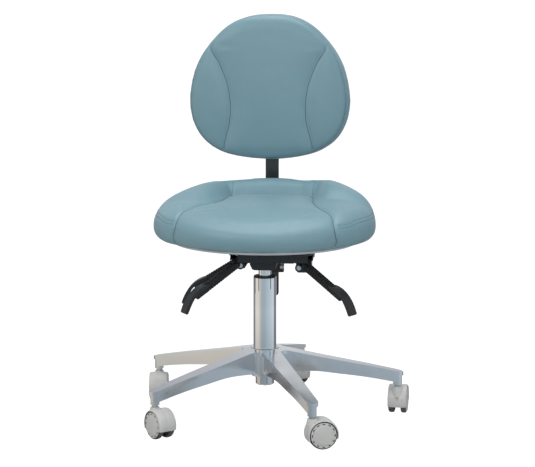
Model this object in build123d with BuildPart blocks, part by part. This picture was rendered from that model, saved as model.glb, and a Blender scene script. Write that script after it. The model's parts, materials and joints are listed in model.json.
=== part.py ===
from build123d import *
import os
from math import cos, sin, radians, hypot

os.makedirs("parts", exist_ok=True)

# Dentist stool. Millimetres, +Z up, the person faces -Y, +X is the side of the height lever.
# The origin is where the axis of the gas lift meets the floor.

# ---------------------------------------------------------------- driving dimensions
# five-arm base
ARM_COUNT = 5
ARM_TURN = 5.5            # direction of the first arm, degrees from +X
ARM_R = 290.6             # caster stems lie on this circle
HUB_TOP = 154.0
HUB_BOTTOM = 91.0
HUB_CUT_R = 58.0
ARM_RIM = 8.0             # thickness of the top flange of an arm
ARM_TOP = [(18, 155.2), (40, 151), (60, 147.2), (97, 139), (155, 127), (195, 119), (233, 111.3), (272, 103), (310, 94.5)]
ARM_LOW = [(18, 99), (58, 100.3), (111, 101), (156, 95.5), (195, 90.5), (234, 84.5), (273, 77), (310, 69.5)]
# gas lift
TUBE_R = 25.0
TUBE_TOP = 309.0
ROD_R = 5.0
CYL_R = 14.0
CYL_BOTTOM = 128.0
CYL_TOP = 350.5
# casters
WHEEL_R = 30.0
TRAIL = 20.0
WHEEL_IN = 7.2
WHEEL_OUT = 20.9
HOOD_R = 33.0
HOOD_IN = 31.3
HOOD_TOP = 63.3
STEM_R = 4.0
CASTER_TRAIL = [309.0, 17.0, 84.0, 129.0, 273.0]   # which way each caster trails
CASTER_ARM = [3, 4, 0, 1, 2]                       # arm that carries caster 1..5
# mechanism
TRAY_Z = 348.0
SEAT_PIVOT = (10.0, 356.0)      # Y, Z of the axis that the seat tilts about
BACK_PIVOT = (80.0, 342.0)      # Y, Z of the axis that the backrest reclines about
LEFT_SHAFT = (-50.0, 339.0)     # X, Z
RIGHT_SHAFT = (76.0, 335.0)     # X, Z
PIN_R = 5.0
# seat
SEAT_A, SEAT_B = 240.0, 211.0
SEAT_Y = -8.0
SEAT_BASE = 392.0
# backrest
BAR_Y = 237.0
BAR_W, BAR_T = 30.0, 8.0
BAR_LOW, BAR_HIGH = 222.0, 765.0
BACK_FRONT = 167.0
BACK_REAR = 229.0
BACK_HALF = [(0, 540), (30, 541.2), (60, 545), (92, 551.8), (120, 563.5), (146, 583), (165, 608.5), (176, 638),
             (180, 674), (174.5, 719), (160, 762), (134, 804), (95, 843), (52, 864), (0, 869.5)]

UP = Vector(0, 0, 1)


def save(part, name):
    part.label = name
    export_step(part, f"parts/{name}.step")


# ================================================================ base
arm_dirs = [ARM_TURN + 72 * i for i in range(ARM_COUNT)]

# top flange: a star in plan, with a crowned section that falls towards the tips
with BuildPart() as flange:
    with BuildSketch(Plane.XY) as star:
        Circle(47)
        with PolarLocations(0, ARM_COUNT, start_angle=ARM_TURN):
            Polygon((10, -21), (60, -20), (160, -16.8), (240, -14), (ARM_R, -12.6),
                    (ARM_R, 12.6), (240, 14), (160, 16.8), (60, 20), (10, 21), align=None)
        with PolarLocations(ARM_R, ARM_COUNT, start_angle=ARM_TURN):
            Circle(12.6)
        inner = star.vertices().filter_by(lambda v: 35 < hypot(v.X, v.Y) < 55)
        fillet(inner, radius=13)
    extrude(amount=200)
    with BuildSketch(Plane.XZ) as band:
        with BuildLine():
            a = Spline(*ARM_TOP)
            b = Spline(*[(r, z - ARM_RIM) for r, z in ARM_TOP])
            Line(a @ 0, b @ 0)
            Line(a @ 1, b @ 1)
        make_face()
    revolve(axis=Axis.Z, mode=Mode.INTERSECT)
    fillet(flange.faces().sort_by(Axis.Z)[-1].outer_wire().edges(), radius=3)

# web under the flange, hollow from below, with two cross ribs in each arm
with BuildPart() as web:
    with BuildSketch(Plane.XY) as webplan:
        Circle(37)
        with PolarLocations(0, ARM_COUNT, start_angle=ARM_TURN):
            Polygon((10, -14), (60, -13), (160, -11.5), (ARM_R, -9.6), (ARM_R, 9.6), (160, 11.5), (60, 13), (10, 14), align=None)
        with PolarLocations(ARM_R, ARM_COUNT, start_angle=ARM_TURN):
            Circle(9.6)
        fillet(webplan.vertices().filter_by(lambda v: 28 < hypot(v.X, v.Y) < 45), radius=8)
    extrude(amount=200)
    with BuildSketch(Plane.XZ) as webband:
        with BuildLine():
            a = Spline(*[(r, z - ARM_RIM + 0.5) for r, z in ARM_TOP])
            b = Spline(*ARM_LOW)
            Line(a @ 0, b @ 0)
            Line(a @ 1, b @ 1)
        make_face()
    revolve(axis=Axis.Z, mode=Mode.INTERSECT)

with BuildPart() as pockets:
    with BuildSketch(Plane.XY):
        with PolarLocations(0, ARM_COUNT, start_angle=ARM_TURN):
            Polygon((46, -9.5), (110, -8.6), (110, 8.6), (46, 9.5), align=None)
            Polygon((115, -8.5), (232, -6.6), (232, 6.6), (115, 8.5), align=None)
            Polygon((237, -6.5), (276, -5.8), (276, 5.8), (237, 6.5), align=None)
    extrude(amount=200)
    with BuildSketch(Plane.XZ):
        with BuildLine():
            Spline(*[(r, z - ARM_RIM) for r, z in ARM_TOP])
            Polyline((18, ARM_TOP[0][1] - ARM_RIM), (18, 10), (310, 10), (310, ARM_TOP[-1][1] - ARM_RIM))
        make_face()
    revolve(axis=Axis.Z, mode=Mode.INTERSECT)

with BuildPart() as star_base:
    add(flange.part)
    add(web.part)
    # hub
    with BuildSketch(Plane.XZ) as hub:
        with BuildLine():
            Polyline((0, HUB_BOTTOM), (29, HUB_BOTTOM), (30, HUB_BOTTOM + 1.5), (31, 99), (37, 106), (37, 143), (33.5, 149.5), (31.5, HUB_TOP - 1), (30.5, HUB_TOP), (0, HUB_TOP), close=True)
        make_face()
    revolve(axis=Axis.Z)
    # caster sockets under the arm tips
    with BuildSketch(Plane.XY.offset(68)):
        with PolarLocations(ARM_R, ARM_COUNT, start_angle=ARM_TURN):
            Circle(9.6)
    extrude(amount=24)
    add(pockets.part, mode=Mode.SUBTRACT)
    # tapered seat for the column tube
    with BuildSketch(Plane.XZ) as bore:
        with BuildLine():
            Polyline((0, HUB_BOTTOM - 5), (23.42, HUB_BOTTOM - 5), (23.42, HUB_BOTTOM), (25.02, HUB_TOP + 0.3), (25.02, HUB_TOP + 6), (0, HUB_TOP + 6), close=True)
        make_face()
    revolve(axis=Axis.Z, mode=Mode.SUBTRACT)
    with BuildSketch(Plane.XY.offset(60)):
        with PolarLocations(ARM_R, ARM_COUNT, start_angle=ARM_TURN):
            Circle(5.55)
    extrude(amount=30, mode=Mode.SUBTRACT)

# the casting is kept as two pieces that meet on a cylinder round the hub
with BuildPart() as star_hub:
    add(star_base.part)
    with BuildSketch(Plane.XY.offset(60)):
        Circle(HUB_CUT_R)
    extrude(amount=120, mode=Mode.INTERSECT)
save(star_hub.part, "star_hub")

with BuildPart() as star_arms:
    add(star_base.part)
    with BuildSketch(Plane.XY.offset(60)):
        Circle(HUB_CUT_R)
    extrude(amount=120, mode=Mode.SUBTRACT)
save(star_arms.part, "star_arms")

with BuildPart() as column_tube:
    with BuildSketch(Plane.XZ):
        with BuildLine():
            Polyline((6.5, 71.5), (18.6, 71.5), (20.4, 73.3), (20.4, 90.2), (23.4, 91), (25, HUB_TOP + 0.3), (25, TUBE_TOP - 1), (24.2, TUBE_TOP),
                     (21.5, TUBE_TOP), (21.5, 100), (17.6, 96), (17.6, 76), (6.5, 76), close=True)
        make_face()
    revolve(axis=Axis.Z)
save(column_tube.part, "column_tube")

with BuildPart() as column_bushing:
    with BuildSketch(Plane.XZ):
        with BuildLine():
            Polyline((14.06, 230), (21.45, 230), (21.45, TUBE_TOP), (24.4, TUBE_TOP), (24.4, TUBE_TOP + 1.4), (23.6, TUBE_TOP + 2.2),
                     (15.2, TUBE_TOP + 2.2), (14.06, TUBE_TOP + 1), close=True)
        make_face()
    revolve(axis=Axis.Z)
save(column_bushing.part, "column_bushing")

with BuildPart() as thrust_bearing:
    with BuildSketch(Plane.XZ):
        with BuildLine():
            Polyline((5.1, 76), (14, 76), (14, 78.2), (12.6, 78.2), (12.6, 81.8), (14, 81.8), (14, 84), (5.1, 84), close=True)
        make_face()
    revolve(axis=Axis.Z)
save(thrust_bearing.part, "thrust_bearing")

with BuildPart() as caster_stems:
    with BuildSketch(Plane.XZ) as stem:
        with BuildLine():
            Polyline((0, 35), (3.2, 35), (STEM_R, 36), (STEM_R, 63.6), (6.5, 63.6), (6.5, 68), (5.5, 68), (5.5, 78), (4.9, 78), (4.9, 81.2), (5.5, 81.2),
                     (5.5, 89), (4.5, 90), (0, 90), close=True)
        make_face()
    revolve(axis=Axis.Z)
one_stem = caster_stems.part
with BuildPart() as stems_all:
    with PolarLocations(ARM_R, ARM_COUNT, start_angle=ARM_TURN):
        add(one_stem)
save(stems_all.part, "caster_stems")

with BuildPart() as ring_one:
    with BuildSketch(Plane.XY.offset(78.1)):
        Circle(5.55)
        Circle(4.95, mode=Mode.SUBTRACT)
        with Locations((5.3, 0)):
            Rectangle(2, 1.4, mode=Mode.SUBTRACT)
    extrude(amount=3)
ring_solid = ring_one.part
with BuildPart() as rings_all:
    with PolarLocations(ARM_R, ARM_COUNT, start_angle=ARM_TURN):
        add(ring_solid)
save(rings_all.part, "stem_grip_rings")

# ================================================================ inner gas lift
with BuildPart() as piston_rod:
    with BuildSketch(Plane.XZ):
        with BuildLine():
            Polyline((0, 67.5), (4.2, 67.5), (4.9, 68.2), (4.9, 84), (9, 84), (9, 88), (ROD_R, 88), (ROD_R, 288), (4, 288), (4, 300), (0, 300), close=True)
        make_face()
    revolve(axis=Axis.Z)
save(piston_rod.part, "piston_rod")

with BuildPart() as piston_head:
    with BuildSketch(Plane.XZ):
        with BuildLine():
            Polyline((4, 288), (12.35, 288), (12.35, 292), (11.4, 292), (11.4, 296), (12.35, 296), (12.35, 300), (4, 300), close=True)
        make_face()
    revolve(axis=Axis.Z)
save(piston_head.part, "piston_head")

with BuildPart() as retaining_clip:
    with BuildSketch(Plane.XY.offset(69.4)):
        Circle(10.5)
        Circle(4.9, mode=Mode.SUBTRACT)
        with Locations((8, 0)):
            Rectangle(8, 3, mode=Mode.SUBTRACT)
    extrude(amount=1.8)
save(retaining_clip.part, "retaining_clip")

with BuildPart() as gas_cylinder:
    with BuildSketch(Plane.XZ):
        with BuildLine():
            Polyline((5.06, CYL_BOTTOM), (13.2, CYL_BOTTOM), (CYL_R, CYL_BOTTOM + 1), (CYL_R, 329), (13.6, CYL_TOP), (3.06, CYL_TOP), (3.06, 341),
                     (2.2, 341), (2.2, 332), (12.4, 332), (12.4, 140), (5.06, 140), close=True)
        make_face()
    revolve(axis=Axis.Z)
save(gas_cylinder.part, "gas_cylinder")

with BuildPart() as valve_button:
    with BuildSketch(Plane.XZ):
        with BuildLine():
            Polyline((0, 345.6), (3, 345.6), (3, 356), (2.2, 356.9), (0, 356.9), close=True)
        make_face()
    revolve(axis=Axis.Z)
save(valve_button.part, "valve_button")

# ================================================================ mechanism
sy, sz = SEAT_PIVOT
by, bz = BACK_PIVOT
lx, lz = LEFT_SHAFT
rx, rz = RIGHT_SHAFT
with BuildPart() as mechanism_housing:
    # clamp block on the taper of the cylinder
    with BuildSketch(Plane.XZ):
        Polygon((-30, TRAY_Z + 3), (28, TRAY_Z + 3), (28, 341), (24, 328.5), (20, 328), (-20, 328), (-25, 330), (-30, 340), align=None)
    extrude(amount=34, both=True)
    # tray, notched where the levers rise through it
    with BuildSketch(Plane.XY.offset(TRAY_Z)) as tray:
        Polygon((-38, -60), (66, -60), (66, -24), (105, -24), (105, 70), (-50, 70), (-50, 24), (-74, 24), (-74, -24), (-38, -24), align=None)
    extrude(amount=3)
    with BuildSketch(Plane.XY.offset(TRAY_Z)):
        with Locations((14, -58.5)):
            Rectangle(104, 3)
        with Locations((27.5, 68.5)):
            Rectangle(155, 3)
    extrude(amount=8)
    # ears for the seat pin
    with BuildSketch(Plane.YZ.offset(-74)) as ear:
        Polygon((-20, TRAY_Z), (22, TRAY_Z), (22, 352), (16, 362), (4, 362), (-20, 352), align=None)
    extrude(amount=3)
    with BuildSketch(Plane.YZ.offset(102)):
        Polygon((-20, TRAY_Z), (40, TRAY_Z), (40, 352), (16, 362), (4, 362), (-20, 352), align=None)
    extrude(amount=3)
    # lever blocks under the tray
    with BuildSketch(Plane.XZ):
        Polygon((68, TRAY_Z), (102, TRAY_Z), (102, 326), (98, 322), (73, 322), (70, 325), align=None)
    extrude(amount=22, both=True)
    with BuildSketch(Plane.XZ):
        Polygon((-64, TRAY_Z), (-30, TRAY_Z), (-36, 340), (-42, 330), (-58, 330), (-64, 334), align=None)
    extrude(amount=22, both=True)
    # rear ears for the back pin
    with BuildSketch(Plane.YZ.offset(-26)) as rear:
        with BuildLine():
            Polyline((34, 330), (80, 332), (90, 342), (88, 351), (34, 351), close=True)
        make_face()
    extrude(amount=5)
    with BuildSketch(Plane.YZ.offset(21)):
        with BuildLine():
            Polyline((34, 330), (80, 332), (90, 342), (88, 351), (34, 351), close=True)
        make_face()
    extrude(amount=5)
    # bores
    with BuildSketch(Plane.XZ):
        with BuildLine():
            Polyline((0, 320), (14.02, 320), (14.02, 329), (13.62, CYL_TOP), (13.62, 356), (0, 356), close=True)
        make_face()
    revolve(axis=Axis.Z, mode=Mode.SUBTRACT)
    with BuildSketch(Plane.YZ.offset(-90)):
        with Locations((sy, sz)):
            Circle(PIN_R)
    extrude(amount=220, mode=Mode.SUBTRACT)
    with BuildSketch(Plane.YZ.offset(-40)):
        with Locations((by, bz)):
            Circle(PIN_R)
    extrude(amount=80, mode=Mode.SUBTRACT)
    with BuildSketch(Plane.XZ):
        with Locations((lx, lz), (rx, rz)):
            Circle(PIN_R + 0.05)
    extrude(amount=40, both=True, mode=Mode.SUBTRACT)
    # slots for the fingers on the lever shafts
    with BuildSketch(Plane.XY.offset(TRAY_Z + 10)):
        with Locations((rx + 0.5, 0)):
            Rectangle(15, 9)
    extrude(amount=-30, mode=Mode.SUBTRACT)
    with BuildSketch(Plane.XY.offset(TRAY_Z + 10)):
        with Locations((lx, 12), (lx, -12)):
            Rectangle(15, 7)
    extrude(amount=-24, mode=Mode.SUBTRACT)
save(mechanism_housing.part, "mechanism_housing")

with BuildPart() as seat_pivot_pin:
    with BuildSketch(Plane.YZ.offset(-77)):
        with Locations((sy, sz)):
            Circle(PIN_R)
    extrude(amount=185)
    chamfer(seat_pivot_pin.edges().filter_by(GeomType.CIRCLE), length=0.8)
save(seat_pivot_pin.part, "seat_pivot_pin")

with BuildPart() as back_pivot_pin:
    with BuildSketch(Plane.YZ.offset(-29)):
        with Locations((by, bz)):
            Circle(PIN_R)
    extrude(amount=58)
    chamfer(back_pivot_pin.edges().filter_by(GeomType.CIRCLE), length=0.8)
save(back_pivot_pin.part, "back_pivot_pin")

# ---- levers: a shaft, a steel handle with a flat curved paddle, and a ribbed boot over the handle
BOOT_L = 119.0
SLOPE = 32.2


def lever(name, shaft, y0, y1, finger_y, start, yaw, s0, finger_top, finger_to=None):
    """shaft (X, Z) runs along Y from y0 to y1; the handle starts at start and points along yaw in plan, SLOPE down."""
    sx, sz_ = shaft
    d = Vector(cos(radians(yaw)) * cos(radians(SLOPE)), sin(radians(yaw)) * cos(radians(SLOPE)), -sin(radians(SLOPE)))
    side = Vector(-sin(radians(yaw)), cos(radians(yaw)), 0)
    o = Vector(*start)
    # section plane across the handle: x_dir is the side, y_dir points up and outwards
    across = Plane(origin=o, x_dir=side, z_dir=d)
    # side plane along the handle: x_dir along the handle, y_dir up
    along = Plane(origin=o, x_dir=d, z_dir=-side)

    with BuildPart() as pin:
        with BuildSketch(Plane(origin=(sx, y0, sz_), x_dir=(1, 0, 0), z_dir=(0, 1, 0))):
            Circle(PIN_R)
        extrude(amount=y1 - y0)
        # finger that works the valve or the clamp
        with BuildSketch(Plane(origin=(sx, finger_y, sz_), x_dir=(1, 0, 0), z_dir=(0, -1, 0))):
            with BuildLine():
                if finger_to is None:
                    Polyline((-3, 0), (3, 0), (3, finger_top - sz_), (-3, finger_top - sz_), close=True)
                else:
                    Polyline((-3, 0), (3, 0), (3, finger_top - sz_), (finger_to - sx, finger_top - sz_), (finger_to - sx, finger_top - sz_ - 4.2),
                             (-3, finger_top - sz_ - 4.2), close=True)
            make_face()
        extrude(amount=2.5, both=True)
    save(pin.part, f"{name}_shaft")

    lo, hi = (y0, y0 + 10) if yaw != 180 else (y1 - 14, y1)
    with BuildPart() as handle:
        with BuildSketch(Plane(origin=(sx, lo, sz_), x_dir=(1, 0, 0), z_dir=(0, 1, 0))):
            Circle(8.5)
        extrude(amount=hi - lo)
        # neck from the eye to the rod
        with BuildSketch(Plane(origin=(sx, (lo + hi) / 2, sz_), x_dir=(1, 0, 0), z_dir=(0, 1, 0))) as na:
            Circle(7)
        with BuildSketch(across.offset(8)) as nb:
            Circle(5.5)
        loft()
        # rod under the boot
        with BuildSketch(across.offset(2)):
            Circle(4.5)
        extrude(amount=BOOT_L - 8)
        # flat paddle: rises out of the top of the boot and curves down
        with BuildSketch(along) as pd:
            with BuildLine():
                top = Spline((BOOT_L - 34, 6.5), (BOOT_L - 20, 10.2), (BOOT_L + 2, 9.0), (BOOT_L + 22, 1.5), (BOOT_L + 40, -10.5))
                tip = ThreePointArc(top @ 1, (BOOT_L + 41.5, -16.0), (BOOT_L + 36, -17.0))
                low = Spline(tip @ 1, (BOOT_L + 18, -5.5), (BOOT_L, 2.2), (BOOT_L - 16, 3.6), (BOOT_L - 34, 1.5))
                Line(low @ 1, top @ 0)
            make_face()
        extrude(amount=12, both=True)
        with BuildSketch(Plane(origin=(sx, y0 - 5, sz_), x_dir=(1, 0, 0), z_dir=(0, 1, 0))):
            Circle(PIN_R)
        extrude(amount=y1 - y0 + 10, mode=Mode.SUBTRACT)
    hp = handle.part
    save(hp, f"{name}_handle")

    # ribbed boot
    with BuildPart() as boot:
        with BuildSketch(across.offset(s0)):
            RectangleRounded(20, 18, 7)
        extrude(amount=BOOT_L - s0)
        # bellows: shallow grooves round the sleeve
        n = int((BOOT_L - s0 - 30) / 6.0)
        for i in range(n):
            with BuildSketch(across.offset(s0 + 5 + 6.0 * i)):
                RectangleRounded(26, 24, 9)
                RectangleRounded(17.4, 15.4, 5.7, mode=Mode.SUBTRACT)
            extrude(amount=2.4, mode=Mode.SUBTRACT)
        add(hp, mode=Mode.SUBTRACT)
    bp = boot.part
    if len(bp.solids()) > 1:
        bp = Part() + bp.solids().sort_by(SortBy.VOLUME)[-1]
    save(bp, f"{name}_boot")
    return hp, bp


lever("height_lever", RIGHT_SHAFT, -40, 20, 0, (85, -44, 346), -31, 8, 361.6, finger_to=-4)
lever("seat_tilt_lever", LEFT_SHAFT, 2, 46, 12, (-55, 36, 340.5), 180, 8, 350.3)
lever("backrest_lever", LEFT_SHAFT, -40, -2, -12, (-55, -47, 346), 211, 8, 350.3)

# ================================================================ seat
with BuildPart() as seat_plate:
    with BuildSketch(Plane.XY.offset(366)):
        with Locations((15.5, 14)):
            RectangleRounded(179, 160, 12)
    extrude(amount=3)
    # front lip that covers the tray
    with BuildSketch(Plane.XY.offset(350)):
        with Locations((21, -64.2)):
            Rectangle(150, 3.2)
    extrude(amount=18)
    # ears that hang on the seat pin
    for x in (-69, 96):
        with BuildSketch(Plane.YZ.offset(x)):
            with BuildLine():
                Polyline((sy - 14, 366), (sy - 6, 351.8), (sy + 6, 351.8), (sy + 14, 366), close=True)
            make_face()
        extrude(amount=4)
    with BuildSketch(Plane.YZ.offset(-90)):
        with Locations((sy, sz)):
            Circle(PIN_R + 0.05)
    extrude(amount=220, mode=Mode.SUBTRACT)
    with BuildSketch(Plane.XY.offset(360)):
        with Locations((-55, -48), (86, -48), (-55, 76), (86, 76)):
            Circle(3.5)
    extrude(amount=15, mode=Mode.SUBTRACT)
save(seat_plate.part, "seat_plate")

# shallow dish under the cushion, on a frame that stands on the plate
with BuildPart() as seat_pan:
    with BuildSketch(Plane.XY.offset(383)):
        with Locations((0, SEAT_Y)):
            Ellipse(178, 150)
    with BuildSketch(Plane.XY.offset(386.5)):
        with Locations((0, SEAT_Y)):
            Ellipse(196, 171)
    with BuildSketch(Plane.XY.offset(SEAT_BASE)):
        with Locations((0, SEAT_Y)):
            Ellipse(205, 183)
    loft()
    with BuildSketch(Plane.XY.offset(385)):
        with Locations((0, SEAT_Y)):
            Ellipse(174, 146)
    extrude(amount=20, mode=Mode.SUBTRACT)
    with BuildSketch(Plane.XY.offset(369)):
        with Locations((15.5, 14)):
            RectangleRounded(165, 146, 12)
            RectangleRounded(124, 104, 8, mode=Mode.SUBTRACT)
    extrude(amount=15)
    with BuildSketch(Plane.XY.offset(360)):
        with Locations((-55, -48), (86, -48), (-55, 76), (86, 76)):
            Circle(3.5)
    extrude(amount=30, mode=Mode.SUBTRACT)
save(seat_pan.part, "seat_pan")

with BuildPart() as seat_board:
    with BuildSketch(Plane.XY.offset(385)):
        with Locations((0, SEAT_Y)):
            Ellipse(173.5, 145.5)
    extrude(amount=6.8)
    with BuildSketch(Plane.XY.offset(380)):
        with Locations((-55, -48), (86, -48), (-55, 76), (86, 76)):
            Circle(3)
    extrude(amount=14, mode=Mode.SUBTRACT)
save(seat_board.part, "seat_board")

with BuildPart() as seat_screws:
    with BuildSketch(Plane.XY.offset(363)):
        with Locations((-55, -48), (86, -48), (-55, 76), (86, 76)):
            RegularPolygon(5.5, 6)
    extrude(amount=3)
    with BuildSketch(Plane.XY.offset(366)):
        with Locations((-55, -48), (86, -48), (-55, 76), (86, 76)):
            Circle(3)
    extrude(amount=25)
save(seat_screws.part, "seat_screws")

with BuildPart() as seat_cushion:
    with BuildSketch(Plane.XY.offset(SEAT_BASE)):
        with Locations((0, SEAT_Y)):
            Ellipse(SEAT_A, SEAT_B)
    extrude(amount=120)
    split(bisect_by=Plane(origin=(0, -190, 447), x_dir=(1, 0, 0), z_dir=(0, -sin(radians(7.6)), cos(radians(7.6)))), keep=Keep.BOTTOM)
    fillet(seat_cushion.faces().sort_by(Axis.Z)[-1].edges(), radius=28)
    fillet(seat_cushion.faces().sort_by(Axis.Z)[0].edges(), radius=26)
save(seat_cushion.part, "seat_cushion")

# ================================================================ back bracket
with BuildPart() as back_bracket:
    with BuildSketch(Plane.YZ) as arm:
        with BuildLine():
            Polyline((80, 346), (96, 346), (150, 331), (212, 306), (223.9, 304), (223.9, 295.5), (210, 297.6), (148, 322.4), (94, 338), (80, 338), close=True)
        make_face()
    extrude(amount=18, both=True)
    with BuildSketch(Plane.YZ.offset(-20)) as barrel:
        with Locations((by, bz)):
            Circle(8.5)
    extrude(amount=40)
    with BuildSketch(Plane.YZ.offset(-30)):
        with Locations((by, bz)):
            Circle(PIN_R + 0.05)
    extrude(amount=60, mode=Mode.SUBTRACT)
save(back_bracket.part, "back_bracket")

with BuildPart() as height_collar:
    with BuildSketch(Plane.XY.offset(278)):
        with Locations((0, BAR_Y)):
            RectangleRounded(54, 26, 4)
            Rectangle(BAR_W + 0.12, BAR_T + 0.12, mode=Mode.SUBTRACT)
    extrude(amount=34)
    # threaded hole for the clamp knob, and holes of the bracket bolts
    with BuildSketch(Plane.XZ.offset(-260)):
        with Locations((0, 296)):
            Circle(4.05)
    extrude(amount=18.9, mode=Mode.SUBTRACT)
    with BuildSketch(Plane.XZ.offset(-(BAR_Y - 13))):
        with Locations((23, 290), (-23, 290), (23, 301), (-23, 301)):
            Circle(2.5)
    extrude(amount=-10, mode=Mode.SUBTRACT)
save(height_collar.part, "height_collar")

with BuildPart() as collar_bolts:
    with BuildSketch(Plane.XZ.offset(-(BAR_Y - 13))):
        with Locations((23, 290), (-23, 290), (23, 301), (-23, 301)):
            Circle(4)
    extrude(amount=3.2)
    with BuildSketch(Plane.XZ.offset(-(BAR_Y - 13))):
        with Locations((23, 290), (-23, 290), (23, 301), (-23, 301)):
            Circle(2.5)
    extrude(amount=-10)
    with BuildSketch(Plane.XZ.offset(-(BAR_Y - 13) + 3.2)):
        with Locations((23, 290), (-23, 290), (23, 301), (-23, 301)):
            RegularPolygon(2.2, 6)
    extrude(amount=-1.8, mode=Mode.SUBTRACT)
save(collar_bolts.part, "collar_bolts")

with BuildPart() as back_knob:
    with BuildSketch(Plane.XZ.offset(-241.3)):
        with Locations((0, 296)):
            Circle(4)
    extrude(amount=-14)
    with BuildSketch(Plane.XZ.offset(-253)) as knob:
        with Locations((0, 296)):
            Circle(17)
            with PolarLocations(18.5, 6):
                Circle(5, mode=Mode.SUBTRACT)
    extrude(amount=-18)
    fillet(back_knob.faces().sort_by(Axis.Y)[-1].edges(), radius=2)
save(back_knob.part, "back_knob")

# ================================================================ backrest
with BuildPart() as upright_bar:
    with BuildSketch(Plane.XZ.offset(-(BAR_Y - BAR_T / 2))):
        with Locations((0, (BAR_LOW + BAR_HIGH) / 2)):
            RectangleRounded(BAR_W, BAR_HIGH - BAR_LOW, 7)
    extrude(amount=-BAR_T)
    fillet(upright_bar.edges().filter_by(Axis.Z), radius=1.5)
save(upright_bar.part, "upright_bar")

with BuildPart() as back_mount_plate:
    with BuildSketch(Plane.XZ.offset(-BACK_REAR)):
        with Locations((0, 690)):
            RectangleRounded(110, 130, 10)
        with Locations((-42, 640), (42, 640), (-42, 740), (42, 740)):
            Circle(3, mode=Mode.SUBTRACT)
    extrude(amount=-4)
save(back_mount_plate.part, "back_mount_plate")

with BuildPart() as back_screws:
    with BuildSketch(Plane.XZ.offset(-(BACK_REAR + 4))):
        with Locations((-42, 640), (42, 640), (-42, 740), (42, 740)):
            Circle(5.5)
    extrude(amount=-3.4)
    with BuildSketch(Plane.XZ.offset(-(BACK_REAR + 4))):
        with Locations((-42, 640), (42, 640), (-42, 740), (42, 740)):
            Circle(3)
    extrude(amount=16)
    with BuildSketch(Plane.XZ.offset(-(BACK_REAR + 7.4))):
        with Locations((-42, 640), (42, 640), (-42, 740), (42, 740)):
            RegularPolygon(2.4, 6)
    extrude(amount=1.8, mode=Mode.SUBTRACT)
save(back_screws.part, "back_screws")


def back_outline(scale_in):
    """closed outline of the backrest, drawn inwards by scale_in millimetres"""
    zc = 700.0
    pts = []
    for x, z in BACK_HALF:
        r = hypot(x, z - zc)
        k = (r - scale_in) / r
        pts.append((x * k, zc + (z - zc) * k))
    return pts + [(-x, z) for x, z in pts[-2:0:-1]]


with BuildPart() as back_rear_cover:
    with BuildSketch(Plane.XZ.offset(-(BACK_REAR - 5))):
        with BuildLine():
            Spline(*back_outline(5), periodic=True)
        make_face()
        with Locations((-42, 640), (42, 640), (-42, 740), (42, 740)):
            Circle(3, mode=Mode.SUBTRACT)
    extrude(amount=-5)
    fillet(back_rear_cover.faces().sort_by(Axis.Y)[-1].outer_wire().edges(), radius=3)
save(back_rear_cover.part, "back_rear_cover")

with BuildPart() as back_board:
    with BuildSketch(Plane.XZ.offset(-(BACK_REAR - 15))):
        with BuildLine():
            Spline(*back_outline(9), periodic=True)
        make_face()
        with Locations((-42, 640), (42, 640), (-42, 740), (42, 740)):
            Circle(3, mode=Mode.SUBTRACT)
    extrude(amount=-10)
save(back_board.part, "back_board")

with BuildPart() as back_cushion:
    with BuildSketch(Plane.XZ.offset(-(BACK_REAR - 15))):
        with BuildLine():
            Spline(*back_outline(0), periodic=True)
        make_face()
    extrude(amount=BACK_REAR - 15 - BACK_FRONT)
    fillet(back_cushion.faces().sort_by(Axis.Y)[0].outer_wire().edges(), radius=17)
save(back_cushion.part, "back_cushion")

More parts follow.
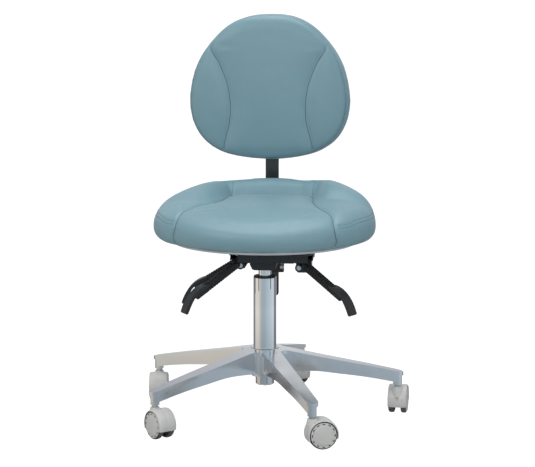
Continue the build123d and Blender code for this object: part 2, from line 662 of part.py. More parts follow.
# ================================================================ casters
for n in range(5):
    a = radians(ARM_TURN + 72 * CASTER_ARM[n])
    t = radians(CASTER_TRAIL[n])
    foot = Vector(ARM_R * cos(a), ARM_R * sin(a), 0)
    fwd = Vector(cos(t), sin(t), 0)
    side = Vector(-sin(t), cos(t), 0)
    flank = Plane(origin=foot, x_dir=fwd, z_dir=-side)      # local x along the trail, local y up
    level = Plane(origin=foot, x_dir=fwd, z_dir=UP)         # local x along the trail, local z up
    axle_o = foot + fwd * TRAIL + UP * WHEEL_R

    with BuildPart() as hood:
        # stem socket
        with BuildSketch(level.offset(44)):
            Circle(9.6)
        extrude(amount=HOOD_TOP - 44)
        # twin arches over the wheels
        with BuildSketch(flank):
            with Locations((TRAIL, WHEEL_R)):
                Circle(HOOD_R)
        extrude(amount=WHEEL_OUT - 0.3, both=True)
        # room for the wheels
        for s in (1, -1):
            with BuildSketch(Plane(origin=axle_o + side * (s * 6.7), x_dir=fwd, z_dir=side * s)):
                Circle(HOOD_IN)
            extrude(amount=30, mode=Mode.SUBTRACT)
        # open below
        with BuildSketch(flank):
            Polygon((TRAIL, WHEEL_R), (TRAIL + 70 * cos(radians(18)), WHEEL_R - 70 * sin(radians(18))), (TRAIL + 66, -40), (TRAIL - 66, -40),
                    (TRAIL - 70 * cos(radians(24)), WHEEL_R - 70 * sin(radians(24))), align=None)
        extrude(amount=40, both=True, mode=Mode.SUBTRACT)
        # boss round the axle between the wheels
        with BuildSketch(flank):
            with Locations((TRAIL, WHEEL_R)):
                Circle(9)
        extrude(amount=6.7, both=True)
        # bores
        with BuildSketch(flank):
            with Locations((TRAIL, WHEEL_R)):
                Circle(4.0)
        extrude(amount=30, both=True, mode=Mode.SUBTRACT)
        with BuildSketch(level.offset(34)):
            Circle(STEM_R + 0.05)
        extrude(amount=40, mode=Mode.SUBTRACT)
    save(hood.part, f"caster_{n + 1}_hood")

    with BuildPart() as axle:
        with BuildSketch(Plane(origin=axle_o, x_dir=fwd, z_dir=side)):
            Circle(4.0)
        extrude(amount=18, both=True)
        chamfer(axle.edges().filter_by(GeomType.CIRCLE), length=0.6)
    save(axle.part, f"caster_{n + 1}_axle")

    for s, word in ((1, "left"), (-1, "right")):
        # profile in (radius, distance from the middle of the caster)
        with BuildPart() as wheel:
            with BuildSketch(Plane(origin=axle_o, x_dir=fwd, z_dir=fwd.cross(side * s))):
                with BuildLine():
                    Polyline((4.05, WHEEL_IN), (8, WHEEL_IN), (8, 15.5), (25, 15.5), (25, WHEEL_IN + 0.6), (26, WHEEL_IN), (28, WHEEL_IN), (WHEEL_R, WHEEL_IN + 2.4),
                             (WHEEL_R, WHEEL_OUT - 3.6), (28.4, WHEEL_OUT - 1.2), (26.6, WHEEL_OUT - 0.6), (22.6, WHEEL_OUT - 0.6), (22, WHEEL_OUT), (9, WHEEL_OUT + 0.5), (0, WHEEL_OUT + 0.5),
                             (0, 18.4), (4.05, 18.4), close=True)
                make_face()
            revolve(axis=Axis(origin=axle_o, direction=side))
            with BuildSketch(Plane(origin=axle_o + side * (s * (WHEEL_OUT - 2.2)), x_dir=fwd, z_dir=side * s)):
                with PolarLocations(24.3, 12):
                    Rectangle(1.6, 4.6)
            extrude(amount=6, mode=Mode.SUBTRACT)
        save(wheel.part, f"caster_{n + 1}_wheel_{word}")
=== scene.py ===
import json
import math

import bmesh
import bpy
import numpy as np
from mathutils import Matrix, Vector, noise
from mathutils.bvhtree import BVHTree
from mathutils.kdtree import KDTree


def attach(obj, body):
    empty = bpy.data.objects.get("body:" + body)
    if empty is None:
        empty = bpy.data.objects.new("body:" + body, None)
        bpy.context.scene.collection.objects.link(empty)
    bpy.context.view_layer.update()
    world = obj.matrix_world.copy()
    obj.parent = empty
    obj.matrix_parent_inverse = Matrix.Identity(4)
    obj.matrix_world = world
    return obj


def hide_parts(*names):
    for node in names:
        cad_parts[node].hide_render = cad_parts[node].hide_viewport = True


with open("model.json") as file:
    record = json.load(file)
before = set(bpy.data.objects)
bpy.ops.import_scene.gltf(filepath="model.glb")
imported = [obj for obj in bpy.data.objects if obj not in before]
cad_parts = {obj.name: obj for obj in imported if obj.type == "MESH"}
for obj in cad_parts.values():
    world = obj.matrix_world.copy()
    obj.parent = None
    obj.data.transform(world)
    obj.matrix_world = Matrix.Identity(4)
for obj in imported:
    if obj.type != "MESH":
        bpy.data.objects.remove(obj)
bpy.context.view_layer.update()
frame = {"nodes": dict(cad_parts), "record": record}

NODES = frame["nodes"]
MM = 0.001
scene = bpy.context.scene


# ------------------------------------------------------------------ materials
class Mat:
    """A small builder of node materials in object coordinates."""

    def __init__(self, name):
        self.m = bpy.data.materials.new(name)
        self.m.use_nodes = True
        self.nt = self.m.node_tree
        self.nt.nodes.clear()
        self.out = self.nt.nodes.new("ShaderNodeOutputMaterial")
        self.bsdf = self.nt.nodes.new("ShaderNodeBsdfPrincipled")
        self.nt.links.new(self.bsdf.outputs["BSDF"], self.out.inputs["Surface"])
        self.tc = self.nt.nodes.new("ShaderNodeTexCoord")
        self.co = self.tc.outputs["Object"]

    def set(self, **kw):
        for k, v in kw.items():
            self.bsdf.inputs[k.replace("_", " ")].default_value = v
        return self

    def link(self, a, b):
        self.nt.links.new(a, b)

    def mapping(self, scale=(1, 1, 1), rot=(0, 0, 0)):
        n = self.nt.nodes.new("ShaderNodeMapping")
        n.inputs["Scale"].default_value = scale
        n.inputs["Rotation"].default_value = rot
        self.link(self.co, n.inputs["Vector"])
        return n.outputs["Vector"]

    def noise(self, scale, detail=3, rough=0.5, co=None, distortion=0.0):
        n = self.nt.nodes.new("ShaderNodeTexNoise")
        n.inputs["Scale"].default_value = scale
        n.inputs["Detail"].default_value = detail
        n.inputs["Roughness"].default_value = rough
        n.inputs["Distortion"].default_value = distortion
        self.link(co or self.co, n.inputs["Vector"])
        return n.outputs["Fac"]

    def voronoi(self, scale, feature="F1", co=None, rnd=1.0):
        n = self.nt.nodes.new("ShaderNodeTexVoronoi")
        n.feature = feature
        n.inputs["Scale"].default_value = scale
        n.inputs["Randomness"].default_value = rnd
        self.link(co or self.co, n.inputs["Vector"])
        return n.outputs["Distance"]

    def wave(self, scale, distortion=2.0, co=None, direction="X", detail=2):
        n = self.nt.nodes.new("ShaderNodeTexWave")
        n.bands_direction = direction
        n.inputs["Scale"].default_value = scale
        n.inputs["Distortion"].default_value = distortion
        n.inputs["Detail"].default_value = detail
        self.link(co or self.co, n.inputs["Vector"])
        return n.outputs["Fac"]

    def remap(self, fac, lo, hi, a=0.0, b=1.0):
        n = self.nt.nodes.new("ShaderNodeMapRange")
        n.inputs["From Min"].default_value = a
        n.inputs["From Max"].default_value = b
        n.inputs["To Min"].default_value = lo
        n.inputs["To Max"].default_value = hi
        self.link(fac, n.inputs["Value"])
        return n.outputs["Result"]

    def ramp(self, fac, stops):
        n = self.nt.nodes.new("ShaderNodeValToRGB")
        els = n.color_ramp.elements
        while len(els) < len(stops):
            els.new(0.5)
        for e, (p, c) in zip(els, stops):
            e.position = p
            e.color = (*c, 1)
        self.link(fac, n.inputs["Fac"])
        return n.outputs["Color"]

    def mixc(self, fac, a, b, mode="MIX"):
        n = self.nt.nodes.new("ShaderNodeMix")
        n.data_type = "RGBA"
        n.blend_type = mode
        if isinstance(fac, float):
            n.inputs[0].default_value = fac
        else:
            self.link(fac, n.inputs[0])
        for i, v in ((6, a), (7, b)):
            if isinstance(v, tuple):
                n.inputs[i].default_value = (*v, 1)
            else:
                self.link(v, n.inputs[i])
        return n.outputs[2]

    def math(self, op, a, b=0.0, clamp=False):
        n = self.nt.nodes.new("ShaderNodeMath")
        n.operation = op
        n.use_clamp = clamp
        for i, v in ((0, a), (1, b)):
            if isinstance(v, (int, float)):
                n.inputs[i].default_value = v
            else:
                self.link(v, n.inputs[i])
        return n.outputs[0]

    def bump(self, height, strength, distance, prev=None):
        n = self.nt.nodes.new("ShaderNodeBump")
        n.inputs["Strength"].default_value = strength
        n.inputs["Distance"].default_value = distance
        self.link(height, n.inputs["Height"])
        if prev is not None:
            self.link(prev, n.inputs["Normal"])
        return n.outputs["Normal"]

    def finish(self, color=None, rough=None, normal=None):
        if color is not None:
            self.link(color, self.bsdf.inputs["Base Color"])
        if rough is not None:
            self.link(rough, self.bsdf.inputs["Roughness"])
        if normal is not None:
            self.link(normal, self.bsdf.inputs["Normal"])
        return self.m


def tint(c, k):
    return tuple(min(1.0, x * k) for x in c)


def leather(name, base, rough=(0.36, 0.5)):
    m = Mat(name)
    broad = m.noise(7, 3, 0.55)
    mid = m.noise(55, 4, 0.6)
    cells = m.voronoi(620)
    edge = m.voronoi(620, "DISTANCE_TO_EDGE")
    col = m.ramp(broad, [(0.3, tint(base, 0.95)), (0.7, tint(base, 1.05))])
    col2 = m.mixc(m.remap(mid, 0.0, 1.0, 0.3, 0.7), col, tint(base, 0.985))
    col3 = m.mixc(m.remap(edge, 0.10, 0.0, 0.0, 0.12), col2, tint(base, 0.80))
    r = m.remap(m.math("ADD", m.noise(90, 4, 0.6), m.math("MULTIPLY", broad, 0.6)), rough[0], rough[1], 0.55, 1.05)
    n1 = m.bump(edge, 0.16, 0.0005)
    n2 = m.bump(m.noise(120, 5, 0.65), 0.10, 0.0012, n1)
    n3 = m.bump(m.noise(24, 3, 0.55, co=m.mapping((1, 1, 1.6)), distortion=0.6), 0.10, 0.004, n2)
    m.set(Sheen_Weight=0.08, Sheen_Roughness=0.45, Specular_IOR_Level=0.5, Coat_Weight=0.06, Coat_Roughness=0.3)
    m.finish(col3, r, n3)
    return m.m


def metal(name, base, rough=(0.14, 0.24), wav=0.05, brush=None, micro=900):
    m = Mat(name)
    smudge = m.noise(28, 4, 0.6, distortion=0.5)
    fine = m.noise(240, 3, 0.6)
    col = m.ramp(m.noise(12, 3, 0.5), [(0.3, tint(base, 0.97)), (0.7, tint(base, 1.02))])
    r = m.remap(m.math("ADD", m.math("MULTIPLY", smudge, 0.7), m.math("MULTIPLY", fine, 0.3)), rough[0], rough[1], 0.35, 0.68)
    n1 = m.bump(m.noise(micro, 2, 0.5), 0.03, 0.0002)
    n2 = m.bump(m.noise(16, 2, 0.4), wav, 0.004, n1)
    if brush:
        n2 = m.bump(m.noise(40, 2, 0.5, co=m.mapping(brush)), 0.05, 0.0003, n2)
    m.set(Metallic=1.0)
    m.finish(col, r, n2)
    return m.m


def coat(name, base, rough=(0.34, 0.48), peel=0.12, scale=900, spec=0.5, wear=None):
    """powder coat or moulded plastic: fine orange peel, dust and rub marks"""
    m = Mat(name)
    broad = m.noise(18, 4, 0.6)
    col = m.ramp(broad, [(0.28, tint(base, 0.93)), (0.72, tint(base, 1.07))])
    if wear:
        scratch = m.noise(70, 5, 0.7, co=m.mapping((1, 1, 5)), distortion=1.2)
        col = m.mixc(m.remap(scratch, 0.0, 0.35, 0.62, 0.8), col, wear)
    r = m.remap(m.math("ADD", m.math("MULTIPLY", broad, 0.5), m.math("MULTIPLY", m.noise(130, 3, 0.6), 0.5)), rough[0], rough[1], 0.35, 0.65)
    n1 = m.bump(m.noise(scale, 2, 0.5), peel, 0.0003)
    n2 = m.bump(m.noise(45, 2, 0.5), 0.04, 0.0015, n1)
    m.set(Specular_IOR_Level=spec)
    m.finish(col, r, n2)
    return m.m


def plywood(name):
    m = Mat(name)
    plies = m.wave(55, 0.4, direction="Z")
    grain = m.noise(90, 5, 0.6, co=m.mapping((1, 12, 12)))
    col = m.mixc(m.remap(grain, 0, 0.5), m.ramp(plies, [(0.2, (0.50, 0.33, 0.18)), (0.8, (0.68, 0.50, 0.31))]), (0.40, 0.25, 0.13))
    m.finish(col, m.remap(grain, 0.55, 0.8), m.bump(grain, 0.3, 0.0006))
    return m.m


TEAL = (0.186, 0.334, 0.388)
M_LEATHER = leather("upholstery_pu", TEAL)
M_BACKSKIN = leather("upholstery_rear", tint(TEAL, 0.94), (0.40, 0.54))
M_THREAD = leather("seam_thread", tint(TEAL, 0.42), (0.5, 0.65))
# M_SEAM_SHADE is a near-black teal laid along the seam valleys: painted shade of the creases
M_SEAM_SHADE = leather("seam_crease_shade", tint(TEAL, 0.30), (0.55, 0.7))
M_ALLOY = metal("polished_alloy", (0.83, 0.84, 0.86), (0.12, 0.24), 0.05)
M_CHROME = metal("chrome", (0.86, 0.87, 0.89), (0.035, 0.09), 0.012, micro=500)
M_STEEL = metal("bright_steel", (0.60, 0.61, 0.63), (0.22, 0.36), 0.02, brush=(60, 60, 2))
M_BLACK = coat("black_powder_coat", (0.014, 0.014, 0.0155), (0.24, 0.40), 0.14, 700, wear=(0.03, 0.03, 0.032))
M_BAR = coat("black_satin_bar", (0.012, 0.012, 0.013), (0.18, 0.30), 0.06, 600, spec=0.95)
M_BPLAST = coat("black_plastic", (0.016, 0.016, 0.017), (0.42, 0.55), 0.18, 1200)
M_RUBBER = coat("boot_rubber", (0.012, 0.012, 0.0125), (0.48, 0.66), 0.25, 1500, spec=0.4)
M_PAN = coat("pan_plastic", (0.60, 0.665, 0.70), (0.34, 0.46), 0.10, 900)
M_CASTER = coat("caster_plastic", (0.60, 0.60, 0.575), (0.30, 0.42), 0.10, 1000)
M_TREAD = coat("caster_tread", (0.085, 0.085, 0.085), (0.50, 0.66), 0.22, 1200, spec=0.4)
# near-black material for the wheel's groove, slot floors and hidden inner face: painted shade of these recesses
M_RECESS_SHADE = coat("caster_recess_painted_shade", (0.03, 0.03, 0.03), (0.55, 0.7), 0.1, 1200)
M_PLY = plywood("plywood")

BY_SLOT = {
    "cast_alloy": M_ALLOY, "chrome": M_CHROME, "steel": M_STEEL, "black_plastic": M_BPLAST, "black_steel": M_BLACK,
    "boot_rubber": M_RUBBER, "upholstery": M_LEATHER, "pan_plastic": M_PAN, "plywood": M_PLY,
    "caster_plastic": M_CASTER, "wheel_plastic": M_CASTER,
}
SLOT_OF = {p["node"]: p.get("material_slot") for p in frame["record"]["subparts"]}


def paint(obj, mat):
    obj.data.materials.clear()
    obj.data.materials.append(mat)


for name, obj in NODES.items():
    paint(obj, BY_SLOT.get(SLOT_OF.get(name), M_BLACK))
paint(NODES["upright_bar"], M_BAR)
paint(NODES["back_rear_cover"], M_BACKSKIN)


# ------------------------------------------------------------------ mesh helpers
def make(name, verts, faces, mat=None, smooth=True):
    me = bpy.data.meshes.new(name)
    me.from_pydata([tuple(v) for v in verts], [], faces)
    me.update()
    o = bpy.data.objects.new(name, me)
    scene.collection.objects.link(o)
    if mat is not None:
        me.materials.append(mat)
    if smooth:
        me.polygons.foreach_set("use_smooth", [True] * len(me.polygons))
    return o


def coords(o):
    a = np.empty(len(o.data.vertices) * 3, np.float32)
    o.data.vertices.foreach_get("co", a)
    return a.reshape(-1, 3).astype(float)


def set_coords(o, a):
    o.data.vertices.foreach_set("co", np.asarray(a, np.float32).ravel())
    o.data.update()


def normals(o):
    a = np.empty(len(o.data.vertices) * 3, np.float32)
    o.data.vertices.foreach_get("normal", a)
    return a.reshape(-1, 3).astype(float)


def evaluated(o, name, mat=None):
    """a new object with o's modifiers applied; o is removed"""
    dg = bpy.context.evaluated_depsgraph_get()
    me = bpy.data.meshes.new_from_object(o.evaluated_get(dg), depsgraph=dg)
    me.name = name
    new = bpy.data.objects.new(name, me)
    new.matrix_world = o.matrix_world.copy()
    scene.collection.objects.link(new)
    bpy.data.objects.remove(o, do_unlink=True)
    if mat is not None:
        me.materials.clear()
        me.materials.append(mat)
        me.polygons.foreach_set("material_index", [0] * len(me.polygons))
    me.polygons.foreach_set("use_smooth", [True] * len(me.polygons))
    new.name = name
    return new


def neighbours(o):
    e = np.empty(len(o.data.edges) * 2, np.int32)
    o.data.edges.foreach_get("vertices", e)
    return e.reshape(-1, 2)


def relax(o, times, amount=0.5, keep=None):
    """Laplacian smoothing with numpy"""
    e = neighbours(o)
    c = coords(o)
    n = len(c)
    cnt = np.bincount(e.ravel(), minlength=n).astype(float)
    cnt[cnt == 0] = 1
    w = np.full(n, amount) if keep is None else amount * (1 - keep)
    for _ in range(times):
        s = np.zeros_like(c)
        for k in range(3):
            s[:, k] = np.bincount(e[:, 0], c[e[:, 1], k], n) + np.bincount(e[:, 1], c[e[:, 0], k], n)
        c = c + (s / cnt[:, None] - c) * w[:, None]
    set_coords(o, c)


def ring_mesh(rings, name, mat=None, close_a=True, close_b=True):
    """rings: list of (n, 3) arrays; the first and last are closed with a fan when they are points"""
    verts, faces, start = [], [], []
    for r in rings:
        start.append(len(verts))
        verts.extend([tuple(p) for p in r])
    for a in range(len(rings) - 1):
        na, nb = len(rings[a]), len(rings[a + 1])
        sa, sb = start[a], start[a + 1]
        if na == nb:
            for i in range(na):
                j = (i + 1) % na
                faces.append((sa + i, sa + j, sb + j, sb + i))
        elif na == 1:
            for i in range(nb):
                faces.append((sa, sb + (i + 1) % nb, sb + i))
        elif nb == 1:
            for i in range(na):
                faces.append((sa + i, sa + (i + 1) % na, sb))
    o = make(name, verts, faces, mat)
    bm = bmesh.new()
    bm.from_mesh(o.data)
    bmesh.ops.recalc_face_normals(bm, faces=bm.faces)
    bm.to_mesh(o.data)
    bm.free()
    return o


def catmull(points, step, closed=False):
    """dense points, spaced about step, on a smooth line through points"""
    p = [np.array(q, float) for q in points]
    n = len(p)
    if closed:
        ext = [p[-1]] + p + [p[0], p[1]]
    else:
        ext = [2 * p[0] - p[1]] + p + [2 * p[-1] - p[-2]]
    out = []
    segs = n if closed else n - 1
    for i in range(segs):
        a, b, c, d = ext[i], ext[i + 1], ext[i + 2], ext[i + 3]
        k = max(2, int(np.linalg.norm(c - b) / step))
        for j in range(k):
            t = j / k
            out.append(0.5 * (2 * b + (c - a) * t + (2 * a - 5 * b + 4 * c - d) * t * t + (3 * b - a - 3 * c + d) * t ** 3))
    if not closed:
        out.append(p[-1])
    return np.array(out)


def bvh_of(o):
    return BVHTree.FromObject(o, bpy.context.evaluated_depsgraph_get())


def project(tree, line, lift=0.0, passes=6):
    """line pulled on to the surface, evened out along itself; returns points and normals"""
    pts = np.array(line, float)
    for k in range(passes):
        for i in range(len(pts)):
            loc, nor, _, _ = tree.find_nearest(Vector(pts[i]))
            pts[i] = loc
        if k < passes - 1:
            q = pts.copy()
            q[1:-1] = 0.25 * pts[:-2] + 0.5 * pts[1:-1] + 0.25 * pts[2:]
            pts = q
    nors = np.zeros_like(pts)
    for i in range(len(pts)):
        loc, nor, _, _ = tree.find_nearest(Vector(pts[i]))
        pts[i] = loc
        nors[i] = nor
    for _ in range(3):
        nors[1:-1] = nors[:-2] + nors[1:-1] + nors[2:]
        nors /= np.linalg.norm(nors, axis=1)[:, None]
    return pts + nors * lift, nors


def tube(points, radius, name, mat, sides=8, closed=False, flat=1.0, nors=None):
    """mesh tube along points; flat squeezes it along the given normals"""
    p = np.array(points, float)
    n = len(p)
    rings = []
    up = np.array([0, 0, 1.0])
    for i in range(n):
        a = p[(i - 1) % n] if closed or i else p[i]
        b = p[(i + 1) % n] if closed or i < n - 1 else p[i]
        t = b - a
        t /= max(np.linalg.norm(t), 1e-12)
        nn = nors[i] if nors is not None else up
        s = np.cross(t, nn)
        if np.linalg.norm(s) < 1e-6:
            s = np.cross(t, np.array([1.0, 0, 0]))
        s /= np.linalg.norm(s)
        m = np.cross(s, t)
        r = radius if not hasattr(radius, "__len__") else radius[i]
        rings.append([p[i] + r * (math.cos(2 * math.pi * k / sides) * s + flat * math.sin(2 * math.pi * k / sides) * m) for k in range(sides)])
    verts = [tuple(v) for r in rings for v in r]
    faces = []
    for i in range(n if closed else n - 1):
        j = (i + 1) % n
        for k in range(sides):
            l = (k + 1) % sides
            faces.append((i * sides + k, j * sides + k, j * sides + l, i * sides + l))
    if not closed:
        faces.append(tuple(range(sides)))
        faces.append(tuple(range((n - 1) * sides + sides - 1, (n - 1) * sides - 1, -1)))
    o = make(name, verts, faces, mat)
    bm = bmesh.new()
    bm.from_mesh(o.data)
    bmesh.ops.recalc_face_normals(bm, faces=bm.faces)
    bm.to_mesh(o.data)
    bm.free()
    return o


def join(objs, name):
    """one object from several, without operators"""
    verts, faces, mats, idx, smooth = [], [], [], [], []
    for o in objs:
        base = len(verts)
        verts.extend([tuple(o.matrix_world @ v.co) for v in o.data.vertices])
        local = []
        for mt in o.data.materials:
            if mt not in mats:
                mats.append(mt)
            local.append(mats.index(mt))
        for f in o.data.polygons:
            faces.append(tuple(base + i for i in f.vertices))
            idx.append(local[f.material_index] if local else 0)
            smooth.append(f.use_smooth)
    new = make(name, verts, faces, None, False)
    for mt in mats:
        new.data.materials.append(mt)
    new.data.polygons.foreach_set("material_index", idx)
    new.data.polygons.foreach_set("use_smooth", smooth)
    for o in objs:
        bpy.data.objects.remove(o, do_unlink=True)
    return new


def stitches(pts, nors, name, mat, pitch=5.0 * MM, length=3.4 * MM, r=0.42 * MM):
    """a row of short thread stitches lying on the surface"""
    d = np.r_[0, np.cumsum(np.linalg.norm(np.diff(pts, axis=0), axis=1))]
    out = []
    total = d[-1]
    k = 0
    s = pitch / 2
    while s + length / 2 < total:
        t = [s - length / 2, s - length / 4, s, s + length / 4, s + length / 2]
        lift = [-0.25 * MM, 0.28 * MM, 0.42 * MM, 0.28 * MM, -0.25 * MM]
        seg = []
        ns = []
        for tt, lf in zip(t, lift):
            q = np.array([np.interp(tt, d, pts[:, a]) for a in range(3)])
            nn = np.array([np.interp(tt, d, nors[:, a]) for a in range(3)])
            nn /= np.linalg.norm(nn)
            seg.append(q + nn * lf)
            ns.append(nn)
        out.append(tube(seg, [r * 0.7, r, r, r, r * 0.7], f"{name}_{k}", mat, sides=6, nors=ns))
        k += 1
        s += pitch
    return join(out, name) if out else None


def remesh(o, size, name):
    m = o.modifiers.new("remesh", "REMESH")
    m.mode = "VOXEL"
    m.voxel_size = size
    m.use_smooth_shade = True
    return evaluated(o, name)


def inflate(o, name, seams, pinned, cap, pressure=4.0, frames=20):
    """cloth simulation of a stuffed cover: seams and the pinned area stay put, the rest swells by at most cap"""
    start = coords(o)
    kd = KDTree(len(seams))
    for i, q in enumerate(seams):
        kd.insert(Vector(q), i)
    kd.balance()
    n = normals(o)
    d = np.array([kd.find(Vector(q))[2] for q in start])
    w = np.clip(d / (28 * MM), 0, 1)
    w = w * w * (3 - 2 * w)
    w[pinned(start)] = 0
    hold = np.clip(1 - (d - 3.5 * MM) / (5 * MM), 0, 1)
    hold[pinned(start)] = 1
    g = o.vertex_groups.new(name="hold")
    for i in np.nonzero(hold > 0.02)[0]:
        g.add([int(i)], float(hold[i]), "REPLACE")
    m = o.modifiers.new("cloth", "CLOTH")
    st = m.settings
    st.quality = 6
    st.mass = 0.3
    st.tension_stiffness = 18
    st.compression_stiffness = 18
    st.shear_stiffness = 6
    st.bending_stiffness = 1.5
    st.use_pressure = True
    st.uniform_pressure_force = pressure
    st.vertex_group_mass = "hold"
    st.pin_stiffness = 1.0
    st.effector_weights.gravity = 0
    m.collision_settings.use_collision = False
    m.collision_settings.use_self_collision = False
    scene.frame_start, scene.frame_end = 1, frames
    for f in range(1, frames + 1):
        scene.frame_set(f)
    dg = bpy.context.evaluated_depsgraph_get()
    me = bpy.data.meshes.new_from_object(o.evaluated_get(dg), depsgraph=dg)
    end = np.empty(len(me.vertices) * 3, np.float32)
    me.vertices.foreach_get("co", end)
    end = end.reshape(-1, 3).astype(float)
    bpy.data.meshes.remove(me)
    o.modifiers.remove(m)
    scene.frame_set(1)
    # the cover swells along its own surface, by a share of the cap that follows the simulated movement
    out = np.sum((end - start) * n, axis=1)
    if out.mean() < 0:
        out = -out
    out = np.clip(out, 0, None)
    ref = max(np.percentile(out[hold < 0.5], 85), 1e-6)
    share = 0.5 * w + 0.5 * np.clip(out / ref, 0, 1)
    share[pinned(start)] = 0
    set_coords(o, start + n * (cap * 0.8 * share)[:, None])
    o.name = name
    return o


def subdivide(o, name, mat):
    m = o.modifiers.new("sub", "SUBSURF")
    m.levels = 1
    m.render_levels = 1
    return evaluated(o, name, mat)


def press_seams(o, lines, depth, sigma, ripple=0.0):
    """soft valleys along the seam lines, with faint puckers beside them"""
    pts = np.concatenate(lines)
    kd = KDTree(len(pts))
    for i, q in enumerate(pts):
        kd.insert(Vector(q), i)
    kd.balance()
    c, n = coords(o), normals(o)
    near = [kd.find(Vector(q)) for q in c]
    d = np.array([q[2] for q in near])
    amt = depth * np.exp(-(d / sigma) ** 2)
    if ripple:
        idx = np.array([q[1] for q in near], float)
        puck = np.array([noise.noise(Vector((i * 0.11, 3.1, 0.7))) for i in idx])
        amt += ripple * puck * np.exp(-((d - 1.6 * sigma) / (1.6 * sigma)) ** 2)
    set_coords(o, c - n * amt[:, None])


def undulate(o, amp, wave, mask=None):
    c, n = coords(o), normals(o)
    k = 1.0 / wave
    h = np.array([noise.noise(Vector((q[0] * k, q[1] * k, q[2] * k))) + 0.5 * noise.noise(Vector((q[0] * k * 2.3 + 5, q[1] * k * 2.3, q[2] * k * 2.3))) for q in c])
    if mask is not None:
        h = h * mask
    set_coords(o, c + n * (h * amp)[:, None])


# ------------------------------------------------------------------ seat cushion
SA, SB, SY = 240.0, 211.0, -8.0
ZW, ZB = 419.0, 392.3
TURN = math.radians(4.0)     # the seam pattern sits a little askew on the pad
PANEL = [(0, 123), (60, 118), (87, 107), (95, 65), (104, 8), (128, -67), (154, -111), (166, -144), (176, -160), (184, -200)]


def unturn(x, y):
    """seat plan point in the frame of the seam pattern"""
    yy = y - SY
    return x * math.cos(TURN) - yy * math.sin(TURN), SY + x * math.sin(TURN) + yy * math.cos(TURN)


def turned(x, y):
    yy = y - SY
    return x * math.cos(TURN) + yy * math.sin(TURN), SY - x * math.sin(TURN) + yy * math.cos(TURN)


def smoothstep(t):
    t = np.clip(t, 0, 1)
    return t * t * (3 - 2 * t)


def panel_side(x, y):
    """distance in mm from the edge of the centre panel, above 0 inside it"""
    px, py = unturn(x, y)
    px = np.abs(px)
    best = np.full(px.shape, 1e9)
    for (x0, y0), (x1, y1) in zip(PANEL[:-1], PANEL[1:]):
        vx, vy = x1 - x0, y1 - y0
        t = np.clip(((px - x0) * vx + (py - y0) * vy) / (vx * vx + vy * vy), 0, 1)
        best = np.minimum(best, np.hypot(px - x0 - t * vx, py - y0 - t * vy))
    ys = [q[1] for q in PANEL][::-1]
    xs = [q[0] for q in PANEL][::-1]
    inside = (px < np.interp(py, ys, xs)) & (py < np.interp(px, [0, 60, 87, 300], [123, 118, 107, 107]))
    return np.where(inside, best, -best)


def seat_top(x, y, shrink=0.0):
    """height in mm of the seat's upper face"""
    a, b = SA - shrink, SB - shrink
    rho = np.hypot(x / a, (y - SY) / b)
    s = panel_side(x, y)
    rear = np.maximum(0, (y - SY) / b) / np.maximum(rho, 1e-6)
    crest = 477 + 34 * rear ** 1.1
    behind = smoothstep((y + 30) / 70)
    crest = crest + behind * (5 * smoothstep((np.abs(x) - 60) / 90) + 10 * smoothstep((x - 60) / 100))
    dish = 469.5 + 4 * (x / 120) ** 2
    fall = np.where(y < -40, 16 * ((-40 - y) / 150) ** 2, 0)
    dish = dish - fall + 3.0 * smoothstep((y - 20) / 90)
    crest = crest - fall
    w = smoothstep(-s / 38.0)
    h = dish * (1 - w) + crest * w - shrink
    f = (1 - np.minimum(1, rho) ** 8) ** (1 / 2.6)
    return ZW + (h - ZW) * f


def seat_shape(shrink, name):
    n = 180
    th = np.linspace(0, 2 * math.pi, n, endpoint=False)
    a, b = SA - shrink, SB - shrink
    rhos = list(np.linspace(0, 0.74, 16)[1:])
    p0 = math.asin(0.75 ** 4)
    rhos += [math.sin(p) ** 0.25 for p in np.linspace(p0, math.pi / 2, 22)]
    rings = [[(0, SY * MM, float(seat_top(np.array([0.0]), np.array([SY]), shrink)[0]) * MM)]]
    for r in rhos:
        x, y = a * r * np.cos(th), SY + b * r * np.sin(th)
        z = seat_top(x, y, shrink)
        rings.append(np.c_[x, y, z] * MM)
    for k in range(1, 11):
        ps = k / 10 * math.pi / 2
        kx = 0.85 + 0.15 * math.cos(ps)
        ky = 0.872 + 0.128 * math.cos(ps)
        z = ZW - (ZW - ZB - 0.2) * math.sin(ps)
        rings.append(np.c_[a * kx * np.cos(th), SY + b * ky * np.sin(th), np.full(n, z)] * MM)
    for k in (0.7, 0.45, 0.2):
        rings.append(np.c_[a * 0.85 * k * np.cos(th), SY + b * 0.872 * k * np.sin(th), np.full(n, ZB + 0.2)] * MM)
    rings.append([(0, SY * MM, (ZB + 0.2) * MM)])
    return ring_mesh(rings, name)


def seat_line(points):
    """dense seam line in metres from plan points (x, y) or (x, y, z), in the pattern's frame"""
    out = []
    for q in points:
        x, y = turned(q[0], q[1])
        z = q[2] if len(q) > 2 else float(seat_top(np.array([x]), np.array([y]))[0])
        out.append((x * MM, y * MM, z * MM))
    return catmull(out, 2.0 * MM)


def mirror(points):
    return [(-q[0], *q[1:]) for q in points]


rear_seam = [(-87, 107), (-60, 118), (-30, 122), (0, 123), (30, 122), (60, 118), (87, 107)]
side_seam = [(87, 107), (92.5, 85), (95, 65), (98, 36), (104, 8), (115, -30), (128, -67), (142, -92), (154, -111, 465), (162, -131, 458), (167, -146, 449),
             (173, -154, 430), (175, -149, 409), (170, -143, 396)]
radial = [(88, 109), (91, 133), (98, 160), (106, 187, 490), (112, 200, 462)]
upper = [(170.5, -142.6, 447.2), (181, -135, 448), (191.5, -125, 448), (207, -97, 452), (220, -65, 452), (228, -40, 452), (233, 0, 453), (228, 50, 457),
         (208, 100, 460), (170, 145, 462), (120, 178, 463), (60, 197, 463), (0, 203, 463)]
lower = [(q[0] * 1.012, q[1] * 1.012, q[2] - 7.0) for q in upper]

